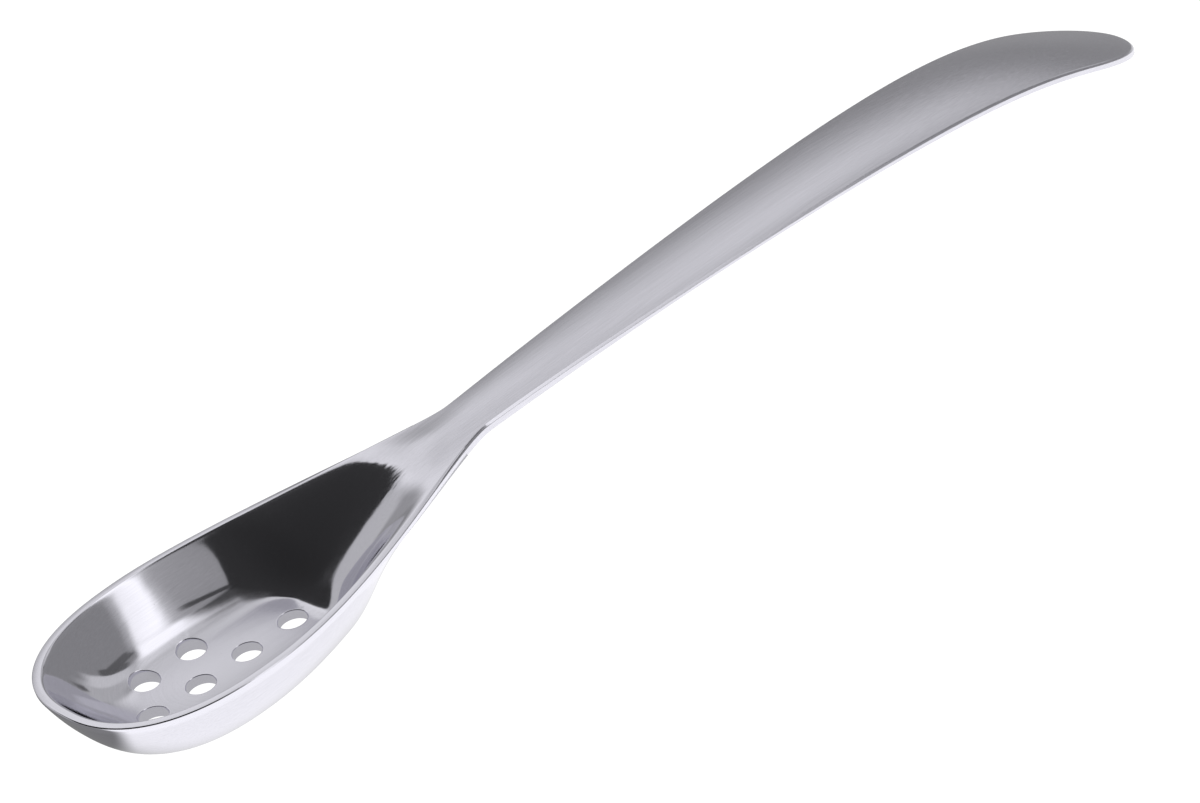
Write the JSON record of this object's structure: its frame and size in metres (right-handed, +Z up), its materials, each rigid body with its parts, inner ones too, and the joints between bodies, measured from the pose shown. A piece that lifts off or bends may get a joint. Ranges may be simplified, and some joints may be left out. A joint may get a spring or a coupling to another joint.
{
  "type": "olive spoon",
  "caption": "Long stainless steel olive spoon with a deep egg-shaped bowl pierced by drain holes, a slim neck and an arched handle that widens to a round end.",
  "frame": {"origin": "on the table under the middle of the spoon's length, in its plane of symmetry", "axes": "+X from the bowl's tip towards the end of the handle, +Z up from the table the spoon lies on"},
  "size_m": [0.25, 0.042, 0.0168],
  "materials": {
    "polished_steel": "mirror-polished stainless steel with faint buffing lines",
    "ground_steel": "stainless steel ground flush and polished with the metal on both sides",
    "satin_steel": "stainless steel polished lengthwise to a soft sheen"
  },
  "bodies": {
    "root": {"bowl": "polished_steel", "neck_weld": "ground_steel", "handle": "satin_steel"}
  },
  "joints": []
}
